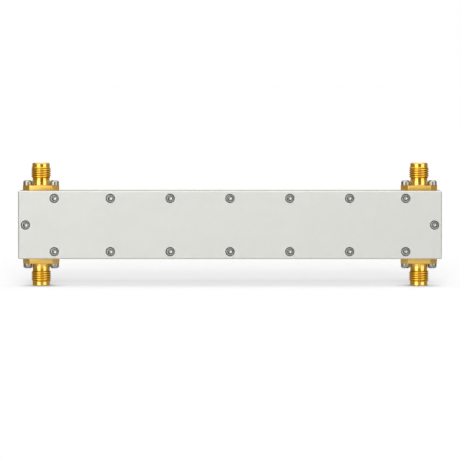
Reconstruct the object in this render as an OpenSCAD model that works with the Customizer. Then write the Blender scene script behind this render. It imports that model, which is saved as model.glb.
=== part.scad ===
// Rat race coupler: a slim two-piece metal box with a stripline ring inside and four threaded ports.
// +Z runs along the port axes, +X along the box, and the cover faces -Y.
// The origin lies under the middle of the box, on the plane that the two lower ports stand on.

/* [Box] */
// Length of the box, end to end
box_length = 136.8; // [128:0.2:160]
// Height of the box between its upper and lower port faces
box_height = 22; // [20:0.5:30]
// Depth of the box, from the cover's face to the housing's back
box_depth = 12; // [11.6:0.1:18]
// Thickness of the front cover
cover_thickness = 2.5; // [2.3:0.1:3]
// Thickness of the housing's walls round its cavity
wall_thickness = 4.6; // [4.4:0.1:5.4]
// Radius that the milling cutter leaves in the cavity's corners
cavity_radius = 1.5; // [1:0.1:2.5]
// Radius of the box's four corners, seen from the front
corner_radius = 0.5; // [0.2:0.1:1.5]
// Chamfer round the cover's face and the housing's back
edge_chamfer = 0.35; // [0.1:0.05:0.6]
// Small chamfer on both sides of the seam between cover and housing
seam_chamfer = 0.12; // [0.05:0.01:0.25]

/* [Cover screws] */
// Distance from the box's edge to the cover screws
screw_inset = 2.4; // [2.2:0.05:3]
// Distance between neighbouring screws in the middle of a row
screw_pitch = 19.3; // [14:0.1:26]
// Distance from a port's axis to the last cover screw of a row
last_screw_offset = 4.5; // [3.8:0.1:6]
// Shortest distance between the last two screws of a row
shortest_step = 10; // [8:1:16]
// Gap between a cover screw's tip and the flange screw that crosses behind it
crossing_gap = 0.6; // [0.4:0.05:1]

/* [Screws] */
// Thread diameter of every screw
screw_d = 1.6; // [1.4:0.1:1.8]
// Head diameter
head_d = 2.9; // [2.6:0.1:3]
// Head height
head_height = 1.6; // [1.4:0.1:1.7]
// Hex socket, across its flats
socket_width = 1.5; // [1.3:0.1:1.6]
// Depth of the hex socket
socket_depth = 0.75; // [0.5:0.05:0.9]
// Length of a flange screw under its head
flange_screw_length = 5; // [4:0.1:5.3]
// Depth of a cover screw's head below the cover's face
head_recess = 0.05; // [0:0.01:0.15]
// Radial gap between a cover screw's head and its counterbore
counterbore_gap = 0.06; // [0.05:0.005:0.3]

/* [Ports] */
// Distance from the end of the box to a port's axis
port_inset = 7.2; // [7:0.1:12]
// Flange length, along the box
flange_length = 11.7; // [11.2:0.1:13]
// Flange depth, across the box
flange_depth = 6.35; // [5.8:0.05:6.8]
// Flange thickness
flange_thickness = 1.65; // [1.5:0.05:1.9]
// Width of the flange's front and back flats, between its cut corners
flange_flat = 7.2; // [6.4:0.1:8]
// Distance between the two flange screws
flange_screw_spacing = 8.64; // [8.5:0.02:8.8]
// Distance from the seam to the flange's front edge
flange_margin = 0.325; // [0.2:0.025:0.8]
// Outer diameter of the thread, over its crests
thread_d = 6.35; // [6.2:0.05:6.5]
// Length of the threaded zone, its two chamfers included
thread_length = 3.6; // [3:0.1:6]
// Diameter of the neck between flange and thread
neck_d = 5.6; // [5.3:0.05:5.7]
// Length of the neck, the groove included
neck_length = 2.3; // [1.8:0.1:4]
// Radius of the fillet where the neck meets the flange
neck_fillet = 0.25; // [0.1:0.05:0.35]
// Width of the groove where the thread runs out
relief_width = 0.55; // [0.3:0.05:0.9]
// Depth of that groove below the neck
relief_depth = 0.1; // [0.05:0.01:0.2]
// Diameter of the plain lip ahead of the thread
lip_d = 5.6; // [5.4:0.05:5.8]
// Length of the lip
lip_length = 1.35; // [1:0.05:2]
// Chamfer on the lip's rim
lip_chamfer = 0.25; // [0.1:0.05:0.35]

/* [Port inside] */
// Bore of the mating recess
recess_d = 4.6; // [4.5:0.02:4.7]
// Depth from the rim to the plane where the mating plug seats
recess_depth = 1.9; // [1.7:0.05:2.1]
// Diameter of the insulator
insulator_d = 4.1; // [3.9:0.05:4.3]
// Diameter of the centre contact
contact_d = 1.27; // [1.2:0.01:1.35]
// Bore of the centre contact's socket
socket_bore_d = 0.94; // [0.9:0.01:1]
// Depth of that bore
socket_bore_depth = 2.6; // [2:0.1:3.2]
// Width of the slots that let the socket spring
slot_width = 0.2; // [0.12:0.02:0.26]
// Depth of the contact's face below the plane where the plug seats
contact_recess = 0.1; // [0.02:0.02:0.2]
// Width of the tab on the contact's inner end
tab_width = 1; // [0.7:0.05:1.1]
// Thickness of that tab
tab_thickness = 0.2; // [0.1:0.02:0.3]
// Length of that tab inside the cavity
tab_length = 1.5; // [1:0.1:2]

/* [Stripline] */
// Thickness of each dielectric board
board_thickness = 0.787; // [0.5:0.001:1.1]
// Thickness of the copper ring
copper_thickness = 0.035; // [0.018:0.001:0.07]
// Clearance round the boards, and round the cover's land, in the cavity
board_clearance = 0.1; // [0.05:0.01:0.2]
// A quarter wavelength along the ring
quarter_wave = 40; // [32:0.5:48]
// Line width of the ring
ring_width = 0.72; // [0.5:0.02:0.9]
// Line width of the four feeds
feed_width = 1.3; // [1.1:0.05:1.5]
// Distance from the boards' edge to the middle of the feeds
feed_inset = 1.1; // [0.9:0.05:1.4]
// Distance between the feeds and the ring's straight arms
feed_gap = 3; // [2.4:0.1:3.4]
// Distance between the ring's upper arm and the folds of its long arm
fold_gap = 1.9; // [1.5:0.1:2.4]
// Distance from the boards' edge to the folds of the long arm
fold_inset = 1.6; // [1.2:0.1:2]
// Straight run between a feed and the first fold
fold_lead = 1.25; // [1.1:0.05:2]

/* [Back holes] */
// Drill diameter of the four threaded mounting holes in the back
mounting_hole_d = 2.05; // [1.6:0.05:2.5]
// Depth of those holes, without the drill's point
mounting_hole_depth = 4; // [3:0.1:4.3]
// Distance between them along the box
mounting_spacing_x = 100; // [60:1:110]
// Distance between them across the box
mounting_spacing_z = 12; // [8:0.5:14]

/* [Hidden] */
$fn = 96;

// Radial gap of pressed and screwed fits
press_gap = 0.01;
// Clearance all round a screw that passes through
through_gap = 0.1;
// Clearance all round a flange screw's head, where it cuts into the neck's fillet
spot_gap = 0.05;
// Empty length of a threaded hole beyond the tip of a flange screw, and of a cover screw
flange_hole_spare = 0.3;
cover_hole_spare = 0.1;
// Slope of a drill's point, rise over radius
drill_slope = 0.6;
// Overlap of cutting shapes with the face that they open
over = 1;

// Small chamfers on a screw's tip and head, and the drill's point that its socket ends in
tip_chamfer = screw_d / 8;
head_chamfer = head_d / 20;
socket_point = socket_width / 6;
// Chamfer in the mouth of a contact's socket, and how far its slots reach down the bore
mouth_chamfer = socket_bore_d / 12;
slot_depth = socket_bore_depth * 0.85;

// Steps from the seat on the box to the rim of a port
neck_top = flange_thickness + neck_length;
thread_top = neck_top + thread_length;
port_height = thread_top + lip_length;
seat_plane = port_height - recess_depth;
relief_r = neck_d / 2 - relief_depth;
relief_foot = neck_top - relief_width;
thread_foot = neck_top + thread_d / 2 - relief_r;
thread_head = thread_top - (thread_d - lip_d) / 2;

// Places in the box
mid_z = port_height + box_height / 2;
port_x = box_length / 2 - port_inset;
front_y = -box_depth / 2;
seam_y = front_y + cover_thickness;
axis_y = seam_y + flange_depth / 2 + flange_margin;
back_y = box_depth / 2;
floor_y = axis_y + copper_thickness / 2 + board_thickness;
land_y = axis_y - copper_thickness / 2 - board_thickness;
cavity_length = box_length - 2 * wall_thickness;
cavity_height = box_height - 2 * wall_thickness;
board_length = cavity_length - 2 * board_clearance;
board_height = cavity_height - 2 * board_clearance;
board_radius = cavity_radius - board_clearance;
notch_gap = 3 * board_clearance;

// Cover screws: an even middle group in each row, one near each port, and one at each end
row_z = box_height / 2 - screw_inset;
end_x = box_length / 2 - screw_inset;
last_x = port_x - last_screw_offset;
side_count = floor((last_x - shortest_step) / screw_pitch);
row_x = concat([-last_x], [for (i = [-side_count : side_count]) i * screw_pitch], [last_x]);
screw_places = concat([for (x = row_x, side = [-1, 1]) [x, side * row_z]], [[-end_x, 0], [end_x, 0]]);
counterbore_depth = head_height + head_recess;
cover_web = cover_thickness - counterbore_depth;
land_root = cover_web / 2;
cover_screw_reach = axis_y - seam_y - screw_d / 2 - crossing_gap;
cover_screw_length = cover_web + cover_screw_reach;

// Ring: two straight arms joined by round ends, with the long arm folded between the lower feeds
feed_z = board_height / 2 - feed_inset;
ring_half = feed_z - feed_gap;
tap_x = quarter_wave / 2;
lobe_x = tap_x + (quarter_wave - PI * ring_half) / 2;
fold_high = ring_half - fold_gap;
fold_low = fold_inset - board_height / 2;
fold_count = ceil(quarter_wave / (fold_high - fold_low));
fold_height = quarter_wave / fold_count;
fold_pitch = 2 * (tap_x - fold_lead) / fold_count;
fold_top = (fold_high + fold_low + fold_height) / 2;
fold_bottom = fold_top - fold_height;

// A flat shape in X and Z, given thickness from one Y to another
module slab(y0, y1) {
    translate([0, y1, mid_z]) rotate([90, 0, 0]) linear_extrude(y1 - y0) children();
}

module rounded_rectangle(length, height, radius) {
    square([length - 2 * radius, height], center = true);
    square([length, height - 2 * radius], center = true);
    for (x = [-1, 1], z = [-1, 1])
        translate([x * (length / 2 - radius), z * (height / 2 - radius)]) circle(radius);
}

// Section of a plate whose front and back edges have chamfers of their own
module chamfered_section(width, y0, y1, front, back) {
    half = width / 2;
    polygon([[-half + front, y0], [half - front, y0], [half, y0 + front], [half, y1 - back],
        [half - back, y1], [-half + back, y1], [-half, y1 - back], [-half, y0 + front]]);
}

// Plate of the box's outline, with chamfered rims and rounded corners
module box_plate(y0, y1, front, back) {
    intersection() {
        slab(y0, y1) rounded_rectangle(box_length, box_height, corner_radius);
        translate([0, 0, mid_z - box_height / 2]) linear_extrude(box_height)
            chamfered_section(box_length, y0, y1, front, back);
        translate([0, 0, mid_z]) rotate([90, 0, 90]) linear_extrude(box_length, center = true)
            rotate(90) chamfered_section(box_height, -y1, -y0, back, front);
    }
}

// Hole along Y that starts at a face and ends in a drill's point
module drilled_hole(diameter, depth) {
    rotate([-90, 0, 0]) {
        translate([0, 0, -over]) cylinder(h = depth + over, d = diameter);
        translate([0, 0, depth]) cylinder(h = drill_slope * diameter / 2, d1 = diameter, d2 = 0);
    }
}

// Puts a port's parts in place: side is -1 for left, end is 1 for the top and -1 for the bottom
module at_port(side, end) {
    translate([side * port_x, axis_y, mid_z + end * box_height / 2])
        rotate([0, end > 0 ? 0 : 180, 0]) children();
}

module at_each_port() {
    for (side = [-1, 1], end = [-1, 1]) at_port(side, end) children();
}

module at_flange_screws() {
    for (side = [-1, 1]) translate([side * flange_screw_spacing / 2, 0, 0]) children();
}

// Socket-head screw: its head stands on Z = 0 and its shank points down
module socket_screw(length) {
    difference() {
        union() {
            translate([0, 0, -length])
                cylinder(h = tip_chamfer, d1 = screw_d - 2 * tip_chamfer, d2 = screw_d);
            translate([0, 0, tip_chamfer - length]) cylinder(h = length - tip_chamfer, d = screw_d);
            cylinder(h = head_height - head_chamfer, d = head_d);
            translate([0, 0, head_height - head_chamfer])
                cylinder(h = head_chamfer, d1 = head_d, d2 = head_d - 2 * head_chamfer);
        }
        translate([0, 0, head_height - socket_depth])
            cylinder(h = socket_depth + over, d = socket_width / cos(30), $fn = 6);
        translate([0, 0, head_height - socket_depth - socket_point])
            cylinder(h = socket_point, d1 = 0, d2 = socket_width);
    }
}

// One-piece port body: flange, neck, thread and lip
module connector() {
    rim_r = lip_d / 2;
    neck_r = neck_d / 2;
    bore_r = insulator_d / 2 + press_gap;
    flat = flange_flat / 2;
    end = flange_length / 2;
    depth = flange_depth / 2;
    cut = end - flat;
    fillet = [for (a = [0 : 15 : 90])
        [neck_r + neck_fillet * (1 - sin(a)), flange_thickness + neck_fillet * (1 - cos(a))]];
    color("#d9a83a") difference() {
        union() {
            linear_extrude(flange_thickness) polygon([[flat, -depth], [end, cut - depth],
                [end, depth - cut], [flat, depth], [-flat, depth], [-end, depth - cut],
                [-end, cut - depth], [-flat, -depth]]);
            rotate_extrude() polygon(concat([[bore_r, 0], [neck_r + neck_fillet, 0]], fillet,
                [[neck_r, relief_foot - relief_depth], [relief_r, relief_foot], [relief_r, neck_top],
                [thread_d / 2, thread_foot], [thread_d / 2, thread_head], [rim_r, thread_top],
                [rim_r, port_height - lip_chamfer], [rim_r - lip_chamfer, port_height],
                [recess_d / 2, port_height], [recess_d / 2, seat_plane], [bore_r, seat_plane]]));
        }
        translate([0, 0, -over]) cylinder(h = flange_thickness + 2 * over, r = bore_r);
        at_flange_screws() {
            translate([0, 0, -over])
                cylinder(h = flange_thickness + 2 * over, d = screw_d + 2 * through_gap);
            translate([0, 0, flange_thickness]) cylinder(h = head_height, d = head_d + 2 * spot_gap);
        }
    }
}

// Insulator: from the cavity's wall to the plane where the plug seats
module insulator() {
    color("#f2f0e8") difference() {
        translate([0, 0, -wall_thickness]) cylinder(h = seat_plane + wall_thickness, d = insulator_d);
        translate([0, 0, -wall_thickness - over])
            cylinder(h = seat_plane + wall_thickness + 2 * over, r = contact_d / 2 + press_gap);
    }
}

// Centre contact: a slotted socket in front and a flat tab on the ring's feed behind
module contact() {
    face = seat_plane - contact_recess;
    color("#e0b048") {
        difference() {
            translate([0, 0, -wall_thickness]) cylinder(h = face + wall_thickness, d = contact_d);
            translate([0, 0, face - socket_bore_depth])
                cylinder(h = socket_bore_depth + over, d = socket_bore_d);
            translate([0, 0, face - mouth_chamfer])
                cylinder(h = mouth_chamfer, d1 = socket_bore_d, d2 = socket_bore_d + 2 * mouth_chamfer);
            for (turn = [45, 135]) rotate(turn)
                translate([-contact_d, -slot_width / 2, face - slot_depth])
                    cube([2 * contact_d, slot_width, slot_depth + over]);
        }
        translate([-tab_width / 2, -copper_thickness / 2 - tab_thickness, -wall_thickness - tab_length])
            cube([tab_width, tab_thickness, tab_length + contact_d]);
    }
}

module flange_screws() {
    color("#b9bab8") at_flange_screws()
        translate([0, 0, flange_thickness]) socket_screw(flange_screw_length);
}

// Milled block: cavity, threaded holes, port bores and the mounting holes in its back
module housing() {
    color("#dcdcd6") difference() {
        box_plate(seam_y, back_y, seam_chamfer, edge_chamfer);
        slab(seam_y - over, floor_y) rounded_rectangle(cavity_length, cavity_height, cavity_radius);
        for (place = screw_places) translate([place[0], seam_y, mid_z + place[1]])
            drilled_hole(screw_d + 2 * press_gap, cover_screw_reach + cover_hole_spare);
        at_each_port() {
            translate([0, 0, -wall_thickness])
                cylinder(h = wall_thickness + over, r = insulator_d / 2 + press_gap);
            at_flange_screws() translate([0, 0, flange_thickness - flange_screw_length - flange_hole_spare])
                cylinder(h = flange_screw_length, d = screw_d + 2 * press_gap);
        }
        for (x = [-1, 1], z = [-1, 1])
            translate([x * mounting_spacing_x / 2, back_y, mid_z + z * mounting_spacing_z / 2])
                rotate(180) drilled_hole(mounting_hole_d, mounting_hole_depth);
    }
}

// Outline of the boards, and of the land that presses on them
module board_outline() {
    rounded_rectangle(board_length, board_height, board_radius);
}

// Milled plate: counterbored screw holes, and a land that clamps the boards
module front_cover() {
    color("#dededa") difference() {
        union() {
            box_plate(front_y, seam_y, edge_chamfer, seam_chamfer);
            slab(seam_y - land_root, land_y) board_outline();
        }
        for (place = screw_places) translate([place[0], front_y, mid_z + place[1]]) rotate([-90, 0, 0]) {
            translate([0, 0, -over])
                cylinder(h = counterbore_depth + over, r = head_d / 2 + counterbore_gap);
            cylinder(h = cover_thickness + over, d = screw_d + 2 * through_gap);
        }
    }
}

module cover_screws() {
    color("#a9aaa8") for (place = screw_places)
        translate([place[0], front_y + counterbore_depth, mid_z + place[1]])
            rotate([90, 0, 0]) socket_screw(cover_screw_length);
}

module rear_board() {
    color("#e6dcc0") slab(axis_y + copper_thickness / 2, floor_y) board_outline();
}

// The front board is notched over each contact's tab
module front_board() {
    notch_width = tab_width + 2 * notch_gap;
    notch_length = tab_length + notch_gap;
    color("#ebe3cc") slab(land_y, axis_y - copper_thickness / 2) difference() {
        board_outline();
        for (side = [-1, 1], end = [-1, 1])
            translate([side * port_x, end * (cavity_height - notch_length) / 2])
                square([notch_width, notch_length], center = true);
    }
}

// Half the line's width, square to the way from one point of a route to the next
function to_side(from, to, width) =
    let (way = (to - from) / norm(to - from)) [-way[1], way[0]] * width / 2;

// Line of even width along a route whose every corner is a right angle
module track(route, width) {
    last = len(route) - 1;
    sides = [for (i = [1 : last]) to_side(route[i - 1], route[i], width)];
    shifts = concat([sides[0]], [for (i = [1 : last - 1]) sides[i - 1] + sides[i]], [sides[last - 1]]);
    polygon(concat([for (i = [0 : last]) route[i] + shifts[i]],
        [for (i = [last : -1 : 0]) route[i] - shifts[i]]));
}

// Right-hand round end of the ring
module ring_end() {
    translate([lobe_x, 0]) intersection() {
        difference() {
            circle(ring_half + ring_width / 2);
            circle(ring_half - ring_width / 2);
        }
        translate([0, -board_height]) square(2 * board_height);
    }
}

module foil() {
    slab(axis_y - copper_thickness / 2, axis_y + copper_thickness / 2) children();
}

module ring_trace() {
    fold_start = fold_lead - tap_x;
    folds = [for (i = [0 : fold_count - 1], step = [0 : 3])
        [fold_start + (i + ceil(step / 2) / 2) * fold_pitch, step < 2 ? fold_top : fold_bottom]];
    color("#c9713f") {
        foil() track([[-lobe_x, ring_half], [lobe_x, ring_half]], ring_width);
        foil() track(concat([[-lobe_x, -ring_half], [fold_start, -ring_half]], folds,
            [[-fold_start, -ring_half], [lobe_x, -ring_half]]), ring_width);
        for (side = [0, 1]) {
            foil() mirror([side, 0]) ring_end();
            for (end = [0, 1]) foil() mirror([side, 0]) mirror([0, end])
                track([[port_x, board_height / 2], [port_x, feed_z], [tap_x, feed_z],
                    [tap_x, ring_half]], feed_width);
        }
    }
}

module upper_left_connector() { at_port(-1, 1) connector(); }
module upper_left_insulator() { at_port(-1, 1) insulator(); }
module upper_left_contact() { at_port(-1, 1) contact(); }
module upper_left_flange_screws() { at_port(-1, 1) flange_screws(); }
module upper_right_connector() { at_port(1, 1) connector(); }
module upper_right_insulator() { at_port(1, 1) insulator(); }
module upper_right_contact() { at_port(1, 1) contact(); }
module upper_right_flange_screws() { at_port(1, 1) flange_screws(); }
module lower_left_connector() { at_port(-1, -1) connector(); }
module lower_left_insulator() { at_port(-1, -1) insulator(); }
module lower_left_contact() { at_port(-1, -1) contact(); }
module lower_left_flange_screws() { at_port(-1, -1) flange_screws(); }
module lower_right_connector() { at_port(1, -1) connector(); }
module lower_right_insulator() { at_port(1, -1) insulator(); }
module lower_right_contact() { at_port(1, -1) contact(); }
module lower_right_flange_screws() { at_port(1, -1) flange_screws(); }

housing();
front_cover();
cover_screws();
rear_board();
ring_trace();
front_board();
upper_left_connector();
upper_left_insulator();
upper_left_contact();
upper_left_flange_screws();
upper_right_connector();
upper_right_insulator();
upper_right_contact();
upper_right_flange_screws();
lower_left_connector();
lower_left_insulator();
lower_left_contact();
lower_left_flange_screws();
lower_right_connector();
lower_right_insulator();
lower_right_contact();
lower_right_flange_screws();
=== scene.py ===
import math

import bmesh
import bpy
from mathutils import Matrix, Vector


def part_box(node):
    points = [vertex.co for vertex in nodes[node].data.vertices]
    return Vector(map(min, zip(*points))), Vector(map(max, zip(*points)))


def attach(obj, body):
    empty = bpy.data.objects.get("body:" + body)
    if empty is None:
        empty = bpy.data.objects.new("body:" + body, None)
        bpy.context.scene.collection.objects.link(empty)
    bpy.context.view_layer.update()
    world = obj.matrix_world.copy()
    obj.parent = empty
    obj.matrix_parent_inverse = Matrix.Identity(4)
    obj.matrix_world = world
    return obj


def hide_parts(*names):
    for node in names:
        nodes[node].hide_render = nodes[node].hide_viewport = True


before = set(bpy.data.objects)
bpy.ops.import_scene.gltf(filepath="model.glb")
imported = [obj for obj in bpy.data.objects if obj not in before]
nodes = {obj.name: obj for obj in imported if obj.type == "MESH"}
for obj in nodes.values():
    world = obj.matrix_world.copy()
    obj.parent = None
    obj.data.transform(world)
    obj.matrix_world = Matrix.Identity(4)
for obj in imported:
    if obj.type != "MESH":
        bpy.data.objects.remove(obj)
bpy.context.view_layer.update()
mm = 0.001
print("frame loaded:", len(nodes), "nodes")

# Places that the pieces share, in millimetres, read from the frame
housingLow, housingHigh = (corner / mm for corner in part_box("housing"))
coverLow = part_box("front_cover")[0] / mm
boxLow = Vector((housingLow.x, coverLow.y, housingLow.z))
boxMiddle = (boxLow + housingHigh) / 2
boxHalf = boxMiddle - boxLow
portLow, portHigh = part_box("upper_right_connector")
portX, portY, _ = (portLow + portHigh) / 2 / mm
portNames = [height + "_" + side for height in ("upper", "lower") for side in ("left", "right")]


# Nodes for the shader groups and materials

def newGroup(name, inputs, outputs):
    group = bpy.data.node_groups.new(name, "ShaderNodeTree")
    for label, kind, value in inputs:
        socket = group.interface.new_socket(label, in_out="INPUT", socket_type=kind)
        if value is not None:
            socket.default_value = value
    for label, kind in outputs:
        group.interface.new_socket(label, in_out="OUTPUT", socket_type=kind)
    source = group.nodes.new("NodeGroupInput")
    target = group.nodes.new("NodeGroupOutput")
    return group, source.outputs, target.inputs


def plug(tree, value, socket):
    # value is another node's output, or a constant for the socket itself
    if isinstance(value, bpy.types.NodeSocket):
        tree.links.new(value, socket)
    else:
        socket.default_value = value


def mathNode(tree, operation, first, second=None, third=None, clamp=False):
    node = tree.nodes.new("ShaderNodeMath")
    node.operation = operation
    node.use_clamp = clamp
    for value, socket in zip((first, second, third), node.inputs):
        if value is not None:
            plug(tree, value, socket)
    return node.outputs[0]


def vectorNode(tree, operation, first, second=None):
    node = tree.nodes.new("ShaderNodeVectorMath")
    node.operation = operation
    plug(tree, first, node.inputs[0])
    if second is not None:
        plug(tree, second, node.inputs[1])
    return node.outputs["Value"] if operation == "LENGTH" else node.outputs[0]


def splitNode(tree, vector):
    node = tree.nodes.new("ShaderNodeSeparateXYZ")
    plug(tree, vector, node.inputs[0])
    return node.outputs


def joinNode(tree, *parts):
    node = tree.nodes.new("ShaderNodeCombineXYZ")
    for value, socket in zip(parts, node.inputs):
        plug(tree, value, socket)
    return node.outputs[0]


def noiseNode(tree, vector, scale, detail=2.0, roughness=0.5, distortion=0.0):
    node = tree.nodes.new("ShaderNodeTexNoise")
    for label, value in (("Vector", vector), ("Scale", scale), ("Detail", detail),
                         ("Roughness", roughness), ("Distortion", distortion)):
        plug(tree, value, node.inputs[label])
    return node.outputs["Fac"]


def rangeNode(tree, value, fromLow, fromHigh, toLow, toHigh):
    node = tree.nodes.new("ShaderNodeMapRange")
    node.interpolation_type = "SMOOTHSTEP"
    for socket, amount in zip(node.inputs, (value, fromLow, fromHigh, toLow, toHigh)):
        plug(tree, amount, socket)
    return node.outputs[0]


def mixColor(tree, share, first, second):
    # The Mix node has its colour sockets after those for numbers and vectors
    node = tree.nodes.new("ShaderNodeMix")
    node.data_type = "RGBA"
    plug(tree, share, node.inputs[0])
    plug(tree, first, node.inputs[6])
    plug(tree, second, node.inputs[7])
    return node.outputs[2]


def bumpNode(tree, height, distance):
    node = tree.nodes.new("ShaderNodeBump")
    node.inputs["Strength"].default_value = 1.0
    node.inputs["Distance"].default_value = distance
    plug(tree, height, node.inputs["Height"])
    return node.outputs[0]


def inMillimetres(tree, vector):
    return vectorNode(tree, "MULTIPLY", vector, (1 / mm, 1 / mm, 1 / mm))


# Shader groups that the materials share

noiseSpan = (0.3, 0.7)  # most of a noise texture's values lie in it
blasting = {
    "dimpleSoftness": 0.6, "dimpleShare": 0.6, "blotchesPerMm": 0.55, "smearsPerMm": (0.035, 0.09, 0.09),
    "smearWaviness": 0.6, "smearSpan": (0.35, 0.7)}


def makeBlastedGrain():
    # Overlapping dimples of fine blasting, with the soft mottle that they leave in the tone
    group, given, made = newGroup(
        "blastedGrain",
        [("Vector", "NodeSocketVector", None), ("Grains per mm", "NodeSocketFloat", 7.0)],
        [("Height", "NodeSocketFloat"), ("Mottle", "NodeSocketFloat"), ("Smears", "NodeSocketFloat")])
    place = inMillimetres(group, given["Vector"])
    dimples = group.nodes.new("ShaderNodeTexVoronoi")
    dimples.feature = "SMOOTH_F1"
    plug(group, place, dimples.inputs["Vector"])
    plug(group, given["Grains per mm"], dimples.inputs["Scale"])
    dimples.inputs["Smoothness"].default_value = blasting["dimpleSoftness"]
    fine = noiseNode(group, place, given["Grains per mm"], detail=3.0, roughness=0.6)
    plug(group, mathNode(group, "MULTIPLY_ADD", dimples.outputs["Distance"], blasting["dimpleShare"], fine),
         made["Height"])
    blotches = noiseNode(group, place, blasting["blotchesPerMm"], detail=4.0, roughness=0.7)
    plug(group, rangeNode(group, blotches, *noiseSpan, 0.0, 1.0), made["Mottle"])
    smears = noiseNode(group, vectorNode(group, "MULTIPLY", place, blasting["smearsPerMm"]), 1.0,
                       distortion=blasting["smearWaviness"])
    plug(group, rangeNode(group, smears, *blasting["smearSpan"], 0.0, 1.0), made["Smears"])
    return group


turning = {"marksRound": 0.7, "streakStretch": (2.5, 2.5, 0.12), "streakSpan": (0.35, 0.65)}


def makeTurningLines():
    # Fine tool marks that run round a turned piece: Vector holds the direction round the axis and
    # the way along the profile, in millimetres
    group, given, made = newGroup(
        "turningLines",
        [("Vector", "NodeSocketVector", None), ("Lines per mm", "NodeSocketFloat", 14.0)],
        [("Height", "NodeSocketFloat"), ("Streaks", "NodeSocketFloat")])
    x, y, along = splitNode(group, given["Vector"])
    marks = joinNode(group, mathNode(group, "MULTIPLY", x, turning["marksRound"]),
                     mathNode(group, "MULTIPLY", y, turning["marksRound"]),
                     mathNode(group, "MULTIPLY", along, given["Lines per mm"]))
    plug(group, noiseNode(group, marks, 1.0, detail=3.0, roughness=0.65), made["Height"])
    broad = noiseNode(group, vectorNode(group, "MULTIPLY", marks, turning["streakStretch"]), 1.0)
    plug(group, rangeNode(group, broad, *turning["streakSpan"], 0.0, 1.0), made["Streaks"])
    return group


def makeTurnedTone():
    # A turned piece's colour from its edge mask: 1 where wear brightens an edge, -1 where painted shade
    # darkens a hollow
    group, given, made = newGroup(
        "turnedTone",
        [("Edge", "NodeSocketFloat", None), ("Tone", "NodeSocketColor", None),
         ("Deep", "NodeSocketColor", None), ("Worn", "NodeSocketColor", None),
         ("Deep Share", "NodeSocketFloat", 0.9), ("Worn Share", "NodeSocketFloat", 0.6)],
        [("Color", "NodeSocketColor")])
    hollow = mathNode(group, "MAXIMUM", mathNode(group, "MULTIPLY", given["Edge"], -1.0), 0.0)
    worn = mathNode(group, "MAXIMUM", given["Edge"], 0.0)
    sunk = mixColor(group, mathNode(group, "MULTIPLY", hollow, given["Deep Share"]), given["Tone"],
                    given["Deep"])
    plug(group, mixColor(group, mathNode(group, "MULTIPLY", worn, given["Worn Share"]), sunk, given["Worn"]),
         made["Color"])
    return group


edgeBreakup = {"breaksPerMm": 1.3, "breakShare": 1.2, "leastShare": 0.4}


def makeBoxEdgeWearAndHighlight():
    # 1 along the edges of a box and 0 on its faces, broken up a little, where handling rubs it bright and
    # where a highlight is painted on its chamfers
    group, given, made = newGroup(
        "boxEdgeWearAndHighlight",
        [("Vector", "NodeSocketVector", None), ("Middle", "NodeSocketVector", None),
         ("Half Size", "NodeSocketVector", None), ("Width", "NodeSocketFloat", 0.6)],
        [("WearAndHighlight", "NodeSocketFloat")])
    place = inMillimetres(group, given["Vector"])
    fromMiddle = vectorNode(group, "ABSOLUTE", vectorNode(group, "SUBTRACT", place, given["Middle"]))
    x, y, z = splitNode(group, vectorNode(group, "SUBTRACT", given["Half Size"], fromMiddle))
    lowest = mathNode(group, "MINIMUM", mathNode(group, "MINIMUM", x, y), z)
    highest = mathNode(group, "MAXIMUM", mathNode(group, "MAXIMUM", x, y), z)
    total = mathNode(group, "ADD", mathNode(group, "ADD", x, y), z)
    second = mathNode(group, "SUBTRACT", mathNode(group, "SUBTRACT", total, lowest), highest)
    breaks = noiseNode(group, place, edgeBreakup["breaksPerMm"], detail=3.0)
    broken = mathNode(group, "MULTIPLY_ADD", breaks, edgeBreakup["breakShare"], edgeBreakup["leastShare"])
    width = mathNode(group, "MULTIPLY", given["Width"], broken)
    plug(group, rangeNode(group, second, 0.0, width, 1.0, 0.0), made["WearAndHighlight"])
    return group


blastedGrain = makeBlastedGrain()
turningLines = makeTurningLines()
turnedTone = makeTurnedTone()
boxEdgeWearAndHighlight = makeBoxEdgeWearAndHighlight()
print("shader groups made")


# Materials: depths and widths of marks are in millimetres, and texture scales are per metre

def newMaterial(name, metallic):
    material = bpy.data.materials.new(name)
    material.use_nodes = True
    shader = material.node_tree.nodes["Principled BSDF"]
    shader.inputs["Metallic"].default_value = metallic
    return material, material.node_tree, shader.inputs


def placeGroup(tree, group, **values):
    node = tree.nodes.new("ShaderNodeGroup")
    node.node_tree = group
    for label, value in values.items():
        plug(tree, value, node.inputs[label.replace("_", " ")])
    return node.outputs


def objectPlace(tree):
    return tree.nodes.new("ShaderNodeTexCoord").outputs["Object"]


def readAttribute(tree, name, output):
    node = tree.nodes.new("ShaderNodeAttribute")
    node.attribute_name = name
    return node.outputs[output]


def portPlace(tree):
    # Direction round the nearest port's axis, and the way along or across it in millimetres
    x, y, z = splitNode(tree, inMillimetres(tree, objectPlace(tree)))
    across = joinNode(tree, mathNode(tree, "SUBTRACT", mathNode(tree, "ABSOLUTE", x), portX),
                      mathNode(tree, "SUBTRACT", y, portY))
    directionX, directionY, _ = splitNode(tree, vectorNode(tree, "NORMALIZE", across))
    way = mathNode(tree, "ADD", vectorNode(tree, "LENGTH", across), z)
    return joinNode(tree, directionX, directionY, way)


def showToolMarks(tree, shader, lines, roughness, depth):
    # Broad streaks of the tool vary the roughness, and its fine lines are cut into the surface
    plug(tree, rangeNode(tree, lines["Streaks"], 0.0, 1.0, *roughness), shader["Roughness"])
    plug(tree, bumpNode(tree, lines["Height"], depth * mm), shader["Normal"])


# The worn colour on the box's edges is rubbed wear and also a painted highlight along the chamfers
aluminium = {
    "tone": (0.69, 0.694, 0.665, 1), "pale": (0.72, 0.722, 0.695, 1), "worn": (0.97, 0.97, 0.955, 1),
    "paleShare": 0.35, "wornShare": 0.8, "wornPolish": 0.12, "roughness": (0.55, 0.61), "edgeWidth": 0.45,
    "grainsPerMm": 7.0, "grainDepth": 0.02}


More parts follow.
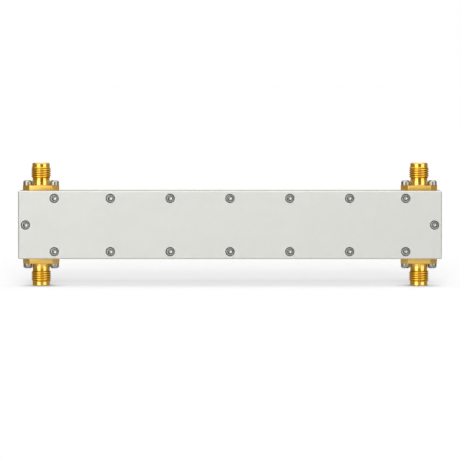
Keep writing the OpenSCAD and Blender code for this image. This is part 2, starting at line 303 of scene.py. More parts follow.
def makeAluminium():
    material, tree, shader = newMaterial("blastedAluminium", 1.0)
    place = objectPlace(tree)
    grain = placeGroup(tree, blastedGrain, Vector=place, Grains_per_mm=aluminium["grainsPerMm"])
    wearAndHighlight = placeGroup(tree, boxEdgeWearAndHighlight, Vector=place, Middle=boxMiddle, Half_Size=boxHalf,
                      Width=aluminium["edgeWidth"])["WearAndHighlight"]
    mottled = mixColor(tree, mathNode(tree, "MULTIPLY", grain["Mottle"], aluminium["paleShare"]),
                       aluminium["tone"], aluminium["pale"])
    plug(tree, mixColor(tree, mathNode(tree, "MULTIPLY", wearAndHighlight, aluminium["wornShare"]), mottled,
                        aluminium["worn"]), shader["Base Color"])
    low, high = aluminium["roughness"]
    rough = rangeNode(tree, grain["Smears"], 0.0, 1.0, high, low)
    plug(tree, mathNode(tree, "MULTIPLY_ADD", wearAndHighlight, -aluminium["wornPolish"], rough), shader["Roughness"])
    plug(tree, bumpNode(tree, grain["Height"], aluminium["grainDepth"] * mm), shader["Normal"])
    return material


gold = {
    "tone": (0.88, 0.52, 0.08, 1), "hollowShade": (0.68, 0.43, 0.012, 1), "worn": (0.90, 0.60, 0.10, 1),
    "thread": (0.88, 0.59, 0.045, 1), "milled": (0.84, 0.55, 0.135, 1), "edgeTint": (0.9, 0.7, 0.45, 1),
    "hollowShadeShare": 0.9, "wornShare": 0.6, "streakShare": 0.3, "blotchShare": 0.4, "coat": 0.45,
    "threadCoat": 0.2, "coatIOR": 2.0, "turnedRoughness": (0.14, 0.21), "threadRoughness": (0.04, 0.09),
    "milledRoughness": (0.28, 0.36), "contactRoughness": (0.14, 0.21), "linesPerMm": 14.0,
    "lineDepth": 0.0012, "millingScale": (700, 9000, 9000), "blotchScale": 900.0, "blotchSpan": (0.35, 0.7)}


def makeTurnedGold(name, tone, coat, roughness):
    material, tree, shader = newMaterial(name, 1.0)
    shader["Specular Tint"].default_value = gold["edgeTint"]
    shader["Coat Weight"].default_value = coat
    shader["Coat IOR"].default_value = gold["coatIOR"]
    color = placeGroup(tree, turnedTone, Edge=readAttribute(tree, "edge", "Fac"), Tone=tone,
                       Deep=gold["hollowShade"], Worn=gold["worn"], Deep_Share=gold["hollowShadeShare"],
                       Worn_Share=gold["wornShare"])["Color"]
    plug(tree, color, shader["Base Color"])
    lines = placeGroup(tree, turningLines, Vector=readAttribute(tree, "turned", "Vector"),
                       Lines_per_mm=gold["linesPerMm"])
    showToolMarks(tree, shader, lines, roughness, gold["lineDepth"])
    return material


def makeMilledGold():
    material, tree, shader = newMaterial("milledGold", 1.0)
    shader["Specular Tint"].default_value = gold["edgeTint"]
    place = objectPlace(tree)
    lines = noiseNode(tree, vectorNode(tree, "MULTIPLY", place, gold["millingScale"]), 1.0, detail=3.0,
                      roughness=0.6)
    blotches = noiseNode(tree, place, gold["blotchScale"], detail=3.0)
    share = rangeNode(tree, blotches, *gold["blotchSpan"], 0.0, gold["blotchShare"])
    plug(tree, mixColor(tree, share, gold["milled"], gold["tone"]), shader["Base Color"])
    plug(tree, rangeNode(tree, blotches, *noiseSpan, *gold["milledRoughness"]), shader["Roughness"])
    plug(tree, bumpNode(tree, lines, gold["lineDepth"] * mm), shader["Normal"])
    return material


def makeContactGold():
    material, tree, shader = newMaterial("contactGold", 1.0)
    lines = placeGroup(tree, turningLines, Vector=portPlace(tree), Lines_per_mm=gold["linesPerMm"])
    plug(tree, mixColor(tree, mathNode(tree, "MULTIPLY", lines["Streaks"], gold["streakShare"]),
                        gold["worn"], gold["tone"]), shader["Base Color"])
    showToolMarks(tree, shader, lines, gold["contactRoughness"], gold["lineDepth"])
    return material


fluoropolymer = {
    "tone": (0.88, 0.875, 0.85, 1), "shade": (0.80, 0.79, 0.755, 1), "shadeShare": 0.6,
    "roughness": (0.38, 0.55), "linesPerMm": 9.0, "lineDepth": 0.004, "softness": 0.15, "softDepth": 0.5}


def makeFluoropolymer():
    material, tree, shader = newMaterial("turnedFluoropolymer", 0.0)
    lines = placeGroup(tree, turningLines, Vector=portPlace(tree), Lines_per_mm=fluoropolymer["linesPerMm"])
    plug(tree, mixColor(tree, mathNode(tree, "MULTIPLY", lines["Streaks"], fluoropolymer["shadeShare"]),
                        fluoropolymer["tone"], fluoropolymer["shade"]), shader["Base Color"])
    rough = rangeNode(tree, lines["Height"], *noiseSpan, *fluoropolymer["roughness"])
    plug(tree, rough, shader["Roughness"])
    plug(tree, bumpNode(tree, lines["Height"], fluoropolymer["lineDepth"] * mm), shader["Normal"])
    shader["Subsurface Weight"].default_value = fluoropolymer["softness"]
    shader["Subsurface Scale"].default_value = fluoropolymer["softDepth"] * mm
    return material


steel = {
    "tone": (0.54, 0.535, 0.52, 1), "hollowShade": (0.035, 0.032, 0.028, 1), "worn": (0.78, 0.77, 0.75, 1),
    "hollowShadeShare": 0.9, "wornShare": 0.7, "roughness": (0.16, 0.30), "linesPerMm": 16.0, "lineDepth": 0.0015}


def makeSteel():
    material, tree, shader = newMaterial("screwSteel", 1.0)
    color = placeGroup(tree, turnedTone, Edge=readAttribute(tree, "edge", "Fac"), Tone=steel["tone"],
                       Deep=steel["hollowShade"], Worn=steel["worn"], Deep_Share=steel["hollowShadeShare"],
                       Worn_Share=steel["wornShare"])["Color"]
    plug(tree, color, shader["Base Color"])
    lines = placeGroup(tree, turningLines, Vector=readAttribute(tree, "turned", "Vector"),
                       Lines_per_mm=steel["linesPerMm"])
    showToolMarks(tree, shader, lines, steel["roughness"], steel["lineDepth"])
    return material


laminate = {
    "tone": (0.80, 0.73, 0.58, 1), "fibre": (0.87, 0.82, 0.70, 1), "fibreShare": 0.5,
    "roughness": (0.4, 0.6), "bundlesPerMm": 0.963, "weaveWaviness": 0.6, "weaveDepth": 0.006,
    "grainScale": 1200.0}


def makeLaminate():
    material, tree, shader = newMaterial("boardLaminate", 0.0)
    place = objectPlace(tree)
    bandsPerScale = 20 / (2 * math.pi)  # a wave texture of scale 1 has so many bands a metre
    bands = []
    for direction in ("X", "Z"):
        wave = tree.nodes.new("ShaderNodeTexWave")
        wave.bands_direction = direction
        plug(tree, place, wave.inputs["Vector"])
        wave.inputs["Scale"].default_value = laminate["bundlesPerMm"] / mm / bandsPerScale
        wave.inputs["Distortion"].default_value = laminate["weaveWaviness"]
        bands.append(wave.outputs["Fac"])
    weave = mathNode(tree, "MAXIMUM", *bands)
    plug(tree, mixColor(tree, mathNode(tree, "MULTIPLY", weave, laminate["fibreShare"]), laminate["tone"],
                        laminate["fibre"]), shader["Base Color"])
    grain = noiseNode(tree, place, laminate["grainScale"])
    plug(tree, rangeNode(tree, grain, *noiseSpan, *laminate["roughness"]), shader["Roughness"])
    plug(tree, bumpNode(tree, weave, laminate["weaveDepth"] * mm), shader["Normal"])
    return material


copper = {
    "tone": (0.72, 0.36, 0.21, 1), "oxide": (0.44, 0.19, 0.10, 1), "oxideShare": 0.7, "oxideScale": 260.0,
    "oxideSpan": (0.45, 0.7), "roughness": (0.24, 0.42), "etchScale": 9000.0, "etchDepth": 0.002}


def makeCopper():
    material, tree, shader = newMaterial("etchedCopper", 1.0)
    place = objectPlace(tree)
    patches = noiseNode(tree, place, copper["oxideScale"], detail=4.0)
    oxide = rangeNode(tree, patches, *copper["oxideSpan"], 0.0, copper["oxideShare"])
    plug(tree, mixColor(tree, oxide, copper["tone"], copper["oxide"]), shader["Base Color"])
    plug(tree, rangeNode(tree, oxide, 0.0, 1.0, *copper["roughness"]), shader["Roughness"])
    etch = noiseNode(tree, place, copper["etchScale"], detail=3.0)
    plug(tree, bumpNode(tree, etch, copper["etchDepth"] * mm), shader["Normal"])
    return material


blastedAluminium = makeAluminium()
turnedGold = makeTurnedGold("turnedGold", gold["tone"], gold["coat"], gold["turnedRoughness"])
threadGold = makeTurnedGold("threadGold", gold["thread"], gold["threadCoat"], gold["threadRoughness"])
milledGold = makeMilledGold()
contactGold = makeContactGold()
turnedFluoropolymer = makeFluoropolymer()
screwSteel = makeSteel()
boardLaminate = makeLaminate()
etchedCopper = makeCopper()


def dress(name, material):
    piece = nodes[name]
    piece.data.materials.clear()
    piece.data.materials.append(material)


dress("housing", blastedAluminium)
dress("front_cover", blastedAluminium)
dress("rear_board", boardLaminate)
dress("front_board", boardLaminate)
dress("ring_trace", etchedCopper)
for port in portNames:
    dress(port + "_insulator", turnedFluoropolymer)
    dress(port + "_contact", contactGold)
print("materials made")


# Turned meshes, made of rings of points round Z, in millimetres

sharpAngle = math.radians(28)  # flatter corners are shaded smooth


def startMesh():
    # turned holds the vector for the turning lines, and edge the mask for the turned tone, whose negative
    # values paint shade into hollows
    mesh = bmesh.new()
    return {"mesh": mesh, "turned": mesh.verts.layers.float_vector.new("turned"),
            "edge": mesh.verts.layers.float.new("edge")}


def addPoint(build, place, turned=(1, 0, 0), edge=0.0):
    vert = build["mesh"].verts.new(place)
    vert[build["turned"]] = turned
    vert[build["edge"]] = edge
    return vert


def addRing(build, count, radius, height, run=0.0, edge=0.0):
    # radius is a number, or a function of the angle
    ring = []
    for step in range(count):
        angle = 2 * math.pi * step / count
        r = radius(angle) if callable(radius) else radius
        ring.append(addPoint(build, (r * math.cos(angle), r * math.sin(angle), height),
                             (math.cos(angle), math.sin(angle), run), edge))
    return ring


def bridge(build, lower, upper, slot):
    # Quads between two rings of the same count, facing out when lower lies below upper
    count = len(lower)
    for step in range(count):
        following = (step + 1) % count
        face = build["mesh"].faces.new((lower[step], lower[following], upper[following], upper[step]))
        face.material_index = slot


def closeTo(build, ring, point):
    for step in range(len(ring)):
        build["mesh"].faces.new((ring[step], ring[(step + 1) % len(ring)], point))


def fillBetween(build, rings, slot):
    mesh = build["mesh"]
    edges = []
    for ring in rings:
        for a, b in zip(ring, ring[1:] + ring[:1]):
            edges.append(mesh.edges.get((a, b)) or mesh.edges.new((a, b)))
    made = bmesh.ops.triangle_fill(mesh, use_beauty=True, use_dissolve=False, edges=edges)
    for face in made["geom"]:
        if isinstance(face, bmesh.types.BMFace):
            face.material_index = slot


def ringsAlong(build, count, profile, firstRun=0.0, slot=0):
    # profile is a list of (radius, height, edge); returns the first and last ring, and the run
    run, rings = firstRun, []
    for index, (radius, height, edge) in enumerate(profile):
        if index:
            before = profile[index - 1]
            if not callable(radius) and not callable(before[0]):
                run += math.hypot(radius - before[0], height - before[1])
            else:
                run += abs(height - before[1])
        rings.append(addRing(build, count, radius, height, run, edge))
        if index:
            bridge(build, rings[index - 1], rings[index], slot)
    return rings[0], rings[-1], run


def finishMesh(build, name, materials):
    mesh = build["mesh"]
    bmesh.ops.recalc_face_normals(mesh, faces=mesh.faces)
    for face in mesh.faces:
        face.smooth = True
    for edge in mesh.edges:
        if len(edge.link_faces) == 2:
            edge.smooth = edge.calc_face_angle(0.0) < sharpAngle
    bmesh.ops.scale(mesh, vec=(mm, mm, mm), verts=mesh.verts)
    data = bpy.data.meshes.new(name)
    mesh.to_mesh(data)
    mesh.free()
    for material in materials:
        data.materials.append(material)
    return data


def addPiece(name, data, node):
    piece = bpy.data.objects.new(name, data)
    bpy.context.scene.collection.objects.link(piece)
    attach(piece, "root")
    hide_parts(node)


# Threaded ports: the flange's foot lies on Z = 0 and the rim points up, in millimetres

connector = {
    "segments": 96, "flangeLength": 11.7, "flangeDepth": 6.35, "flangeThickness": 1.65, "flangeFlat": 7.2,
    "cornerRadius": 0.2, "cornerSteps": 4, "flangeEdge": 0.09, "edgeBend": 0.3, "screwSpacing": 8.64,
    "screwHole": 1.8, "holeSegments": 32, "spotFace": 3.0, "neckD": 5.6, "neckFillet": 0.25,
    "filletSteps": 6, "reliefD": 5.4, "reliefStart": 3.4, "threadStart": 3.95, "threadEnd": 7.55,
    "threadD": 6.35, "threadDepth": 0.4, "pitch": 25.4 / 36, "runPastThread": 5, "lipD": 5.6, "top": 8.9,
    "rimChamfer": 0.28, "rimBend": (0.25, 0.62), "recessD": 4.6, "recessChamfer": 0.1, "seat": 7.0,
    "seatChamfer": 0.05, "boreD": 4.12}
millSlot, turnSlot, threadSlot = 0, 1, 2  # the connector's materials


def threadForm():
    # One thread as shares of its pitch and depth: its crest, a flank, its root and the other flank.
    # Both sides of the crest are alike, so crest and root count from its middle
    crestMiddle, rootMiddle = 0.18, 0.68
    crest = [(0.11, 0.0), (0.145, 0.025), (0.18, 0.08)]
    root = [(0.33, 0.52), (0.475, 0.955), (0.49, 0.99)]
    return ([(crestMiddle - place, depth) for place, depth in reversed(crest)]
            + [(crestMiddle + place, depth) for place, depth in crest + root]
            + [(rootMiddle, 1.0)]
            + [(1 + crestMiddle - place, depth) for place, depth in reversed(root)])


def flangeOutline(build, inset, height):
    # The flange's outline with its four cut corners, smaller by inset all round
    c = connector
    end, depth, flat = c["flangeLength"] / 2, c["flangeDepth"] / 2, c["flangeFlat"] / 2
    cut = end - flat
    corners = [(end, cut - depth), (end, depth - cut), (flat, depth), (-flat, depth), (-end, depth - cut),
               (-end, cut - depth), (-flat, -depth), (flat, -depth)]
    radius = c["cornerRadius"] - inset
    points = []
    for index, corner in enumerate(corners):
        here = Vector(corner)
        back = (Vector(corners[index - 1]) - here).normalized()
        ahead = (Vector(corners[(index + 1) % len(corners)]) - here).normalized()
        between = (back + ahead).normalized()
        half = back.angle(ahead) / 2
        middle = here + between * c["cornerRadius"] / math.sin(half)
        turn = math.pi - 2 * half
        first = math.atan2(-between.y, -between.x) - turn / 2
        for step in range(c["cornerSteps"] + 1):
            angle = first + turn * step / c["cornerSteps"]
            points.append(addPoint(build, (middle.x + radius * math.cos(angle),
                                           middle.y + radius * math.sin(angle), height)))
    return points


def addFlange(build):
    # The block with its rounded edges and two screw holes; returns its outlines and the holes' rings
    c = connector
    top, edge = c["flangeThickness"], c["flangeEdge"]
    bend = edge * c["edgeBend"]
    outlines = [flangeOutline(build, inset, height) for inset, height in
                ((edge, 0), (0, edge), (0, top - edge), (bend, top - bend), (edge, top))]
    for lower, upper in zip(outlines, outlines[1:]):
        bridge(build, lower, upper, millSlot)
    holes = []
    for side in (-1, 1):
        pair = [addRing(build, c["holeSegments"], c["screwHole"] / 2, height) for height in (0, top)]
        for vert in pair[0] + pair[1]:
            vert.co.x += side * c["screwSpacing"] / 2
        bridge(build, *pair, millSlot)
        holes.append(pair)
    return outlines, holes


def clearOfHeads(radius):
    # The spot faces for the screw heads cut into the neck's fillet at both sides
    spacing, spot = connector["screwSpacing"] / 2, connector["spotFace"] / 2

    def limited(angle):
        across = spacing * math.sin(angle)
        if abs(across) >= spot:
            return radius
        return min(radius, spacing * abs(math.cos(angle)) - math.sqrt(spot ** 2 - across ** 2))
    return limited


def threadBand(build, below, above, firstRun):
    # The helical thread between two rings: its rows climb with the helix and end on the rings
    c = connector
    form = threadForm()
    count, rows = len(below), len(form)
    low, high, crest = c["threadStart"], c["threadEnd"], c["threadD"] / 2
    turns = math.ceil((high - low) / c["pitch"]) + 2  # one more at either end
    nearEnd = 1e-4  # a point as near to an end as this is a point of the ring there
    made = {}

    def point(row, column):
        if column == count:
            row, column = row + rows, 0
        turn, place = divmod(row, rows)
        phase, depth = form[place]
        height = low + c["pitch"] * (turn - 1 + phase + column / count)
        if height <= low + nearEnd:
            return below[column]
        if height >= high - nearEnd:
            return above[column]
        if (row, column) not in made:
            radius = min(crest - c["threadDepth"] * depth, c["reliefD"] / 2 + height - low,
                         c["lipD"] / 2 + high - height)
            # The edge mask is 1 on the crests and falls to -1 at two thirds of the depth, painting shade
            # into the roots
            share = (radius - crest) / c["threadDepth"] + 1
            angle = 2 * math.pi * column / count
            made[row, column] = addPoint(
                build, (radius * math.cos(angle), radius * math.sin(angle), height),
                (math.cos(angle), math.sin(angle), firstRun + height - low), max(-1, 3 * share - 2))
        return made[row, column]

    for row in range(rows * turns):
        for column in range(count):
            corners = [point(row, column), point(row, column + 1), point(row + 1, column + 1),
                       point(row + 1, column)]
            unique = [v for i, v in enumerate(corners) if v not in corners[:i]]
            if len(unique) > 2 and build["mesh"].faces.get(unique) is None:
                build["mesh"].faces.new(unique).material_index = threadSlot


def addBarrel(build):
    # Neck, groove, thread, lip, recess and bore; returns the neck's first ring and the bore's last
    c = connector
    neck, fillet, relief = c["neckD"] / 2, c["neckFillet"], c["reliefD"] / 2
    foot = c["flangeThickness"]
    profile = []
    for step in range(c["filletSteps"] + 1):
        angle = math.pi / 2 * step / c["filletSteps"]
        profile.append((clearOfHeads(neck + fillet * (1 - math.sin(angle))),
                        foot + fillet * (1 - math.cos(angle)), 0))
    # Negative edge values paint shade into the groove before the thread
    profile += [(neck, c["reliefStart"] - (neck - relief), 0.3), (relief, c["reliefStart"], -0.5),
                (relief, c["threadStart"], -0.5)]
    first, below, run = ringsAlong(build, c["segments"], profile, slot=turnSlot)

    lip, chamfer, head = c["lipD"] / 2, c["rimChamfer"], c["top"]
    inward, down = c["rimBend"]
    recess, mouth, seat, corner = c["recessD"] / 2, c["recessChamfer"], c["seat"], c["seatChamfer"]
    # The negative edge value next to the thread paints shade there; the positive ones brighten the worn rims
    profile = [(lip, c["threadEnd"], -0.2), (lip, head - chamfer, 0.2),
               (lip - chamfer * inward, head - chamfer * down, 0.5), (lip - chamfer, head, 0.6),
               (recess + mouth, head, 0.4), (recess, head - mouth, 0.2), (recess, seat + corner, 0),
               (recess - corner, seat, 0), (c["boreD"] / 2, seat, 0), (c["boreD"] / 2, 0, 0)]
    # The tool marks run on past the thread, so the lip's don't repeat the groove's
    above, last, _ = ringsAlong(build, c["segments"], profile, run + c["runPastThread"], turnSlot)
    threadBand(build, below, above, run)
    return first, last


def connectorMesh():
    build = startMesh()
    outlines, holes = addFlange(build)
    neckRing, boreRing = addBarrel(build)
    fillBetween(build, [outlines[-1], neckRing, holes[0][1], holes[1][1]], millSlot)
    fillBetween(build, [outlines[0], boreRing, holes[0][0], holes[1][0]], millSlot)
    return finishMesh(build, "connectorTurned", [milledGold, turnedGold, threadGold])


# Socket-head screws: the head stands on Z = 0 and the shank points down, in millimetres

screw = {
    "segments": 48, "headD": 2.9, "headHeight": 1.6, "chamferWidth": 0.46, "chamferHeight": 0.42,
    "chamferRound": 0.03, "underRadius": 0.05, "socketWidth": 1.5, "socketDepth": 0.7, "mouthD": 1.8,
    "mouthDepth": 0.12, "shankD": 1.6, "tipChamfer": 0.2, "pointD": 1.2, "pointDepth": 0.13}


def screwPart(build, length, sideShade):
    # One screw, with painted shade on its head's side where that is sunk; returns its points
    s = screw
    first = len(build["mesh"].verts)
    head, shank, tip, point = s["headD"] / 2, s["shankD"] / 2, s["tipChamfer"], s["pointD"] / 2
    wide, high, bend = s["chamferWidth"], s["chamferHeight"], s["chamferRound"]
    under, top = s["underRadius"], s["headHeight"]
    mouth, floor = top - s["mouthDepth"], top - s["socketDepth"]

    def hexagon(angle):
        return s["socketWidth"] / 2 / math.cos(angle % (math.pi / 3) - math.pi / 6)

    # Negative edge values paint shade on the shank, under and beside the head, and into the socket
    profile = [(shank - tip, -length, 0), (shank, tip - length, 0), (shank, 0, -0.5),
               (head - under, 0, -0.3), (head, under, -sideShade), (head, top - high - bend, -sideShade),
               (head - bend / 2, top - high + bend, -0.3 * sideShade),
               (head - wide + bend, top - bend / 2, 0.1 * sideShade), (head - wide - bend, top, 0.2),
               (s["mouthD"] / 2, top, -0.4), (hexagon, mouth, -0.8), (hexagon, floor, -1),
               (point, floor, -0.3)]
    # Two more rings on the socket's cone, so that its shading stays straight between rim and tip
    profile += [(point * (1 - share), floor - s["pointDepth"] * share, edge)
                for share, edge in ((0.1, -0.35), (0.85, -0.1))]
    foot, bottom, run = ringsAlong(build, s["segments"], profile)
    closeTo(build, bottom, addPoint(build, (0, 0, floor - s["pointDepth"]), (0, 0, run)))
    closeTo(build, foot[::-1], addPoint(build, (0, 0, -length), (0, 0, 0)))
    build["mesh"].verts.ensure_lookup_table()
    return build["mesh"].verts[first:]


def placeScrew(build, length, sideShade, place, turn):
    verts = screwPart(build, length, sideShade)
    bmesh.ops.transform(build["mesh"], matrix=place @ Matrix.Rotation(turn, 4, "Z"), verts=verts)


turnStep = 2.39996  # from one screw's socket to the next, in radians, so that no two look alike
# How strongly shade is painted on the heads' sides: full for the sunk cover screws, less for the flange's
coverScrews = {"inset": 2.4, "pitch": 19.3, "sideCount": 2, "lastOffset": 4.5, "seatDepth": 1.65,
               "length": 2.95, "sideShade": 1}
flangeScrews = {"length": 5.0, "sideShade": 0.4}


def coverScrewPlaces():
    c = coverScrews
    last = portX - c["lastOffset"]
    middle = [step * c["pitch"] for step in range(-c["sideCount"], c["sideCount"] + 1)]
    rowZ = boxHalf.z - c["inset"]
    endX = boxHalf.x - c["inset"]
    return [(x, side * rowZ) for x in [-last, *middle, last] for side in (-1, 1)] + [(-endX, 0), (endX, 0)]


def makeCoverScrews():
    c = coverScrews
    build = startMesh()
    outOfCover = Matrix.Rotation(math.pi / 2, 4, "X")
    for index, (x, z) in enumerate(coverScrewPlaces()):
        seat = Matrix.Translation((x, boxLow.y + c["seatDepth"], boxMiddle.z + z)) @ outOfCover
        placeScrew(build, c["length"], c["sideShade"], seat, index * turnStep)
    addPiece("cover_screws_socket", finishMesh(build, "coverScrews", [screwSteel]), "cover_screws")


def makeFlangeScrews(port, place, index):
    build = startMesh()
    offset, top = connector["screwSpacing"] / 2, connector["flangeThickness"]
    for side in (-1, 1):
        seat = place @ Matrix.Translation((side * offset, 0, top))
        placeScrew(build, flangeScrews["length"], flangeScrews["sideShade"], seat, (2 * index + side) * turnStep)
    addPiece(port + "_flange_screws_socket", finishMesh(build, port + "FlangeScrews", [screwSteel]),
             port + "_flange_screws")


def makePorts():
    turned = connectorMesh()
    for index, port in enumerate(portNames):
        side = -1 if port.endswith("left") else 1
        up = port.startswith("upper")
        place = Matrix.Translation((side * portX, portY, boxMiddle.z + (boxHalf.z if up else -boxHalf.z)))
        if not up:
            place = place @ Matrix.Rotation(math.pi, 4, "Y")
        body = turned.copy()
        # The mesh is in metres and place in millimetres
        body.transform(Matrix.Scale(mm, 4) @ place @ Matrix.Scale(1 / mm, 4))
        addPiece(port + "_connector_threaded", body, port + "_connector")
        makeFlangeScrews(port, place, index)
    bpy.data.meshes.remove(turned)


makeCoverScrews()
print("cover screws made")
makePorts()
print("ports made")


# The studio: floor, lamps, cards that only the metal sees, and the camera, in metres and degrees

studio = {
    # An azimuth of 0 is towards the camera, and one of 90 towards the picture's right
    "floorReach": 8.0, "floorDrop": 0.00002, "floorTone": 0.86, "floorGlow": 0.435,
    "contactReach": 0.006, "contactPower": 4, "contactSamples": 4, "roomLight": 0.35, "seenWhite": 1.0,
    "lampAim": (0, 0, 0.02),
    "suns": [
        {"name": "highSun", "elevation": 45, "angle": 24, "strength": 0.57},
        {"name": "lowSun", "elevation": 13, "angle": 24, "strength": 2.6}],
    "lamps": [
        {"name": "leftLamp", "azimuth": -31, "elevation": 20, "distance": 1.1, "size": (0.76, 1.2),
         "power": 4.25},
        {"name": "rightLamp", "azimuth": 50, "elevation": 10, "distance": 1.1, "size": (0.75, 0.8),
         "power": 1.7},
        {"name": "topLamp", "azimuth": 0, "elevation": 89, "distance": 1.0, "size": (0.9, 0.4),
         "power": 0.5}],
    "cards": [
        {"name": "leftCard", "from": -150, "to": -60, "distance": 0.5, "low": -0.15, "high": 0.5,
         "tone": 0.33},
        {"name": "cameraCard", "from": -11, "to": 30, "distance": 1.2, "low": -0.07, "high": 0.24,
         "tone": 0.17},
        {"name": "rightCard", "from": 76, "to": 94, "distance": 0.5, "low": -0.15, "high": 0.5,
         "tone": 0.32},
        {"name": "farRightCard", "from": 94, "to": 150, "distance": 0.5, "low": -0.15, "high": 0.5,
         "tone": 0.42},
        {"name": "backCard", "from": 150, "to": 210, "distance": 0.5, "low": -0.15, "high": 0.3,
         "tone": 0.35}],
    "cardTint": (1.0, 0.85, 0.6, 1), "cardSteps": 24,
    "tables": [
        {"name": "tableCard", "back": 0.3, "front": -0.2, "half": 0.3, "drop": 0.03, "tone": 0.45},
        {"name": "frontTableCard", "back": -0.012, "front": -0.25, "half": 0.11, "drop": 0.029,
         "tone": 0.85}],
    "tableTint": (1, 1, 1, 1)}
cameraSetting = {"distance": 1.3, "elevation": 2.5, "frameWidth": 0.1484, "aim": (0, -0.006, 0.0183)}


def aimAt(location, target):
    return (Vector(target) - Vector(location)).to_track_quat("-Z", "Y").to_matrix().to_4x4()


def onDome(azimuth, elevation, distance=1.0, middle=(0, 0, 0)):
    a, e = math.radians(azimuth), math.radians(elevation)
    return Vector(middle) + distance * Vector((math.sin(a) * math.cos(e), -math.cos(a) * math.cos(e),
                                               math.sin(e)))


def addLight(name, data, place, target):
    lamp = bpy.data.objects.new(name, data)
    lamp.matrix_world = Matrix.Translation(place) @ aimAt(place, target)
    bpy.context.scene.collection.objects.link(lamp)
    return lamp


def seenDirectly(tree):
    # 1 where the camera looks, and where metal or clear things show what is around them; 0 for the
    # light that the floor gathers, also by way of the metal
    path = tree.nodes.new("ShaderNodeLightPath").outputs
    seen = mathNode(tree, "MAXIMUM", mathNode(tree, "MAXIMUM", path["Is Camera Ray"], path["Is Glossy Ray"]),
                    path["Is Transmission Ray"])
    return mathNode(tree, "SUBTRACT", seen, path["Diffuse Depth"], clamp=True)


def bareMaterial(name):
    material = bpy.data.materials.new(name)
    material.use_nodes = True
    material.node_tree.nodes.clear()
    return material, material.node_tree


def makeFloor():
    reach, height = studio["floorReach"], -studio["floorDrop"]
    data = bpy.data.meshes.new("studioFloor")
    data.from_pydata([(-reach, -reach, height), (reach, -reach, height), (reach, reach, height),
                      (-reach, reach, height)], [], [(0, 1, 2, 3)])
    material, tree = bareMaterial("studioFloor")
    diffuse = tree.nodes.new("ShaderNodeBsdfDiffuse")
    diffuse.inputs["Color"].default_value = (*[studio["floorTone"]] * 3, 1)
    # A painted contact shadow: the glow is dimmed close to a foot, by how much of the room the foot hides
    # from the floor
    nearby = tree.nodes.new("ShaderNodeAmbientOcclusion")
    nearby.samples = studio["contactSamples"]
    nearby.inputs["Distance"].default_value = studio["contactReach"]
    openShare = mathNode(tree, "POWER", nearby.outputs["AO"], studio["contactPower"])
    strength = mathNode(tree, "MULTIPLY", openShare, studio["floorGlow"])
    glow = tree.nodes.new("ShaderNodeEmission")
    plug(tree, mathNode(tree, "MULTIPLY", seenDirectly(tree), strength), glow.inputs["Strength"])
    both = tree.nodes.new("ShaderNodeAddShader")
    tree.links.new(diffuse.outputs[0], both.inputs[0])
    tree.links.new(glow.outputs[0], both.inputs[1])
    clear = tree.nodes.new("ShaderNodeBsdfTransparent")
    fromBelow = tree.nodes.new("ShaderNodeMixShader")
    tree.links.new(tree.nodes.new("ShaderNodeNewGeometry").outputs["Backfacing"], fromBelow.inputs[0])
    tree.links.new(both.outputs[0], fromBelow.inputs[1])
    tree.links.new(clear.outputs[0], fromBelow.inputs[2])
    tree.links.new(fromBelow.outputs[0], tree.nodes.new("ShaderNodeOutputMaterial").inputs["Surface"])
    data.materials.append(material)
    floor = bpy.data.objects.new("studioFloor", data)
    bpy.context.scene.collection.objects.link(floor)
    floor.visible_glossy = False


def makeWorld():
    # What is seen is white, and what the floor gathers is the dimmer light of the room
    world = bpy.data.worlds.new("studioWorld")
    bpy.context.scene.world = world
    world.use_nodes = True
    tree = world.node_tree
    tree.nodes.clear()
    mix = tree.nodes.new("ShaderNodeMixShader")
    plug(tree, seenDirectly(tree), mix.inputs[0])
    for socket, strength in ((mix.inputs[1], studio["roomLight"]), (mix.inputs[2], studio["seenWhite"])):
        background = tree.nodes.new("ShaderNodeBackground")
        background.inputs["Color"].default_value = (1, 1, 1, 1)
        background.inputs["Strength"].default_value = strength
        tree.links.new(background.outputs[0], socket)
    tree.links.new(mix.outputs[0], tree.nodes.new("ShaderNodeOutputWorld").inputs["Surface"])


def makeLamp(setting):
    data = bpy.data.lights.new(setting["name"], "AREA")
    data.shape = "RECTANGLE"
    data.size, data.size_y = setting["size"]
    data.energy = setting["power"]
    place = onDome(setting["azimuth"], setting["elevation"], setting["distance"])
    lamp = addLight(setting["name"], data, place, studio["lampAim"])
    lamp.visible_camera = lamp.visible_diffuse = False


def makeSun(setting):
    # A broad soft light for the floor and its shadow; the metal shows the lamps and cards instead
    data = bpy.data.lights.new(setting["name"], "SUN")
    data.angle = math.radians(setting["angle"])
    data.energy = setting["strength"]
    sun = addLight(setting["name"], data, onDome(0, setting["elevation"]), (0, 0, 0))
    sun.visible_glossy = False


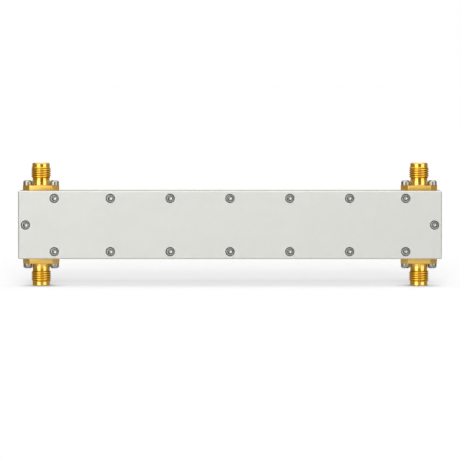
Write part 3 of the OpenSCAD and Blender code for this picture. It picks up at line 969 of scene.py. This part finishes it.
def addCard(name, points, faces, tone, tint):
    # A card that only the metal sees, so that it shapes the reflections and nothing else
    data = bpy.data.meshes.new(name)
    data.from_pydata(points, [], faces)
    material, tree = bareMaterial(name)
    glow = tree.nodes.new("ShaderNodeEmission")
    glow.inputs["Color"].default_value = tint
    plug(tree, mathNode(tree, "MULTIPLY", seenDirectly(tree), tone), glow.inputs["Strength"])
    tree.links.new(glow.outputs[0], tree.nodes.new("ShaderNodeOutputMaterial").inputs["Surface"])
    data.materials.append(material)
    card = bpy.data.objects.new(name, data)
    bpy.context.scene.collection.objects.link(card)
    card.visible_camera = card.visible_diffuse = card.visible_shadow = card.visible_transmission = False


def makeTableCard(setting):
    half, front, back = setting["half"], setting["front"], setting["back"]
    points = [(x, y, -setting["drop"]) for x, y in
              ((-half, front), (half, front), (half, back), (-half, back))]
    addCard(setting["name"], points, [(0, 1, 2, 3)], setting["tone"], studio["tableTint"])


def makeCard(setting):
    steps, points, faces = studio["cardSteps"], [], []
    for step in range(steps + 1):
        azimuth = setting["from"] + (setting["to"] - setting["from"]) * step / steps
        foot = onDome(azimuth, 0, setting["distance"])
        points += [foot + Vector((0, 0, height)) for height in (setting["low"], setting["high"])]
        if step:
            faces.append((2 * step - 2, 2 * step, 2 * step + 1, 2 * step - 1))
    addCard(setting["name"], points, faces, setting["tone"], studio["cardTint"])


def makeCamera():
    s = cameraSetting
    data = bpy.data.cameras.new("photoCamera")
    data.lens = data.sensor_width * s["distance"] / s["frameWidth"]
    camera = bpy.data.objects.new("photoCamera", data)
    place = onDome(0, s["elevation"], s["distance"], s["aim"])
    camera.matrix_world = Matrix.Translation(place) @ aimAt(place, s["aim"])
    bpy.context.scene.collection.objects.link(camera)
    bpy.context.scene.camera = camera


makeFloor()
makeWorld()
for setting in studio["tables"]:
    makeTableCard(setting)
for setting in studio["suns"]:
    makeSun(setting)
for setting in studio["lamps"]:
    makeLamp(setting)
for setting in studio["cards"]:
    makeCard(setting)
makeCamera()
bpy.context.scene.view_settings.view_transform = "Standard"
print("studio made")
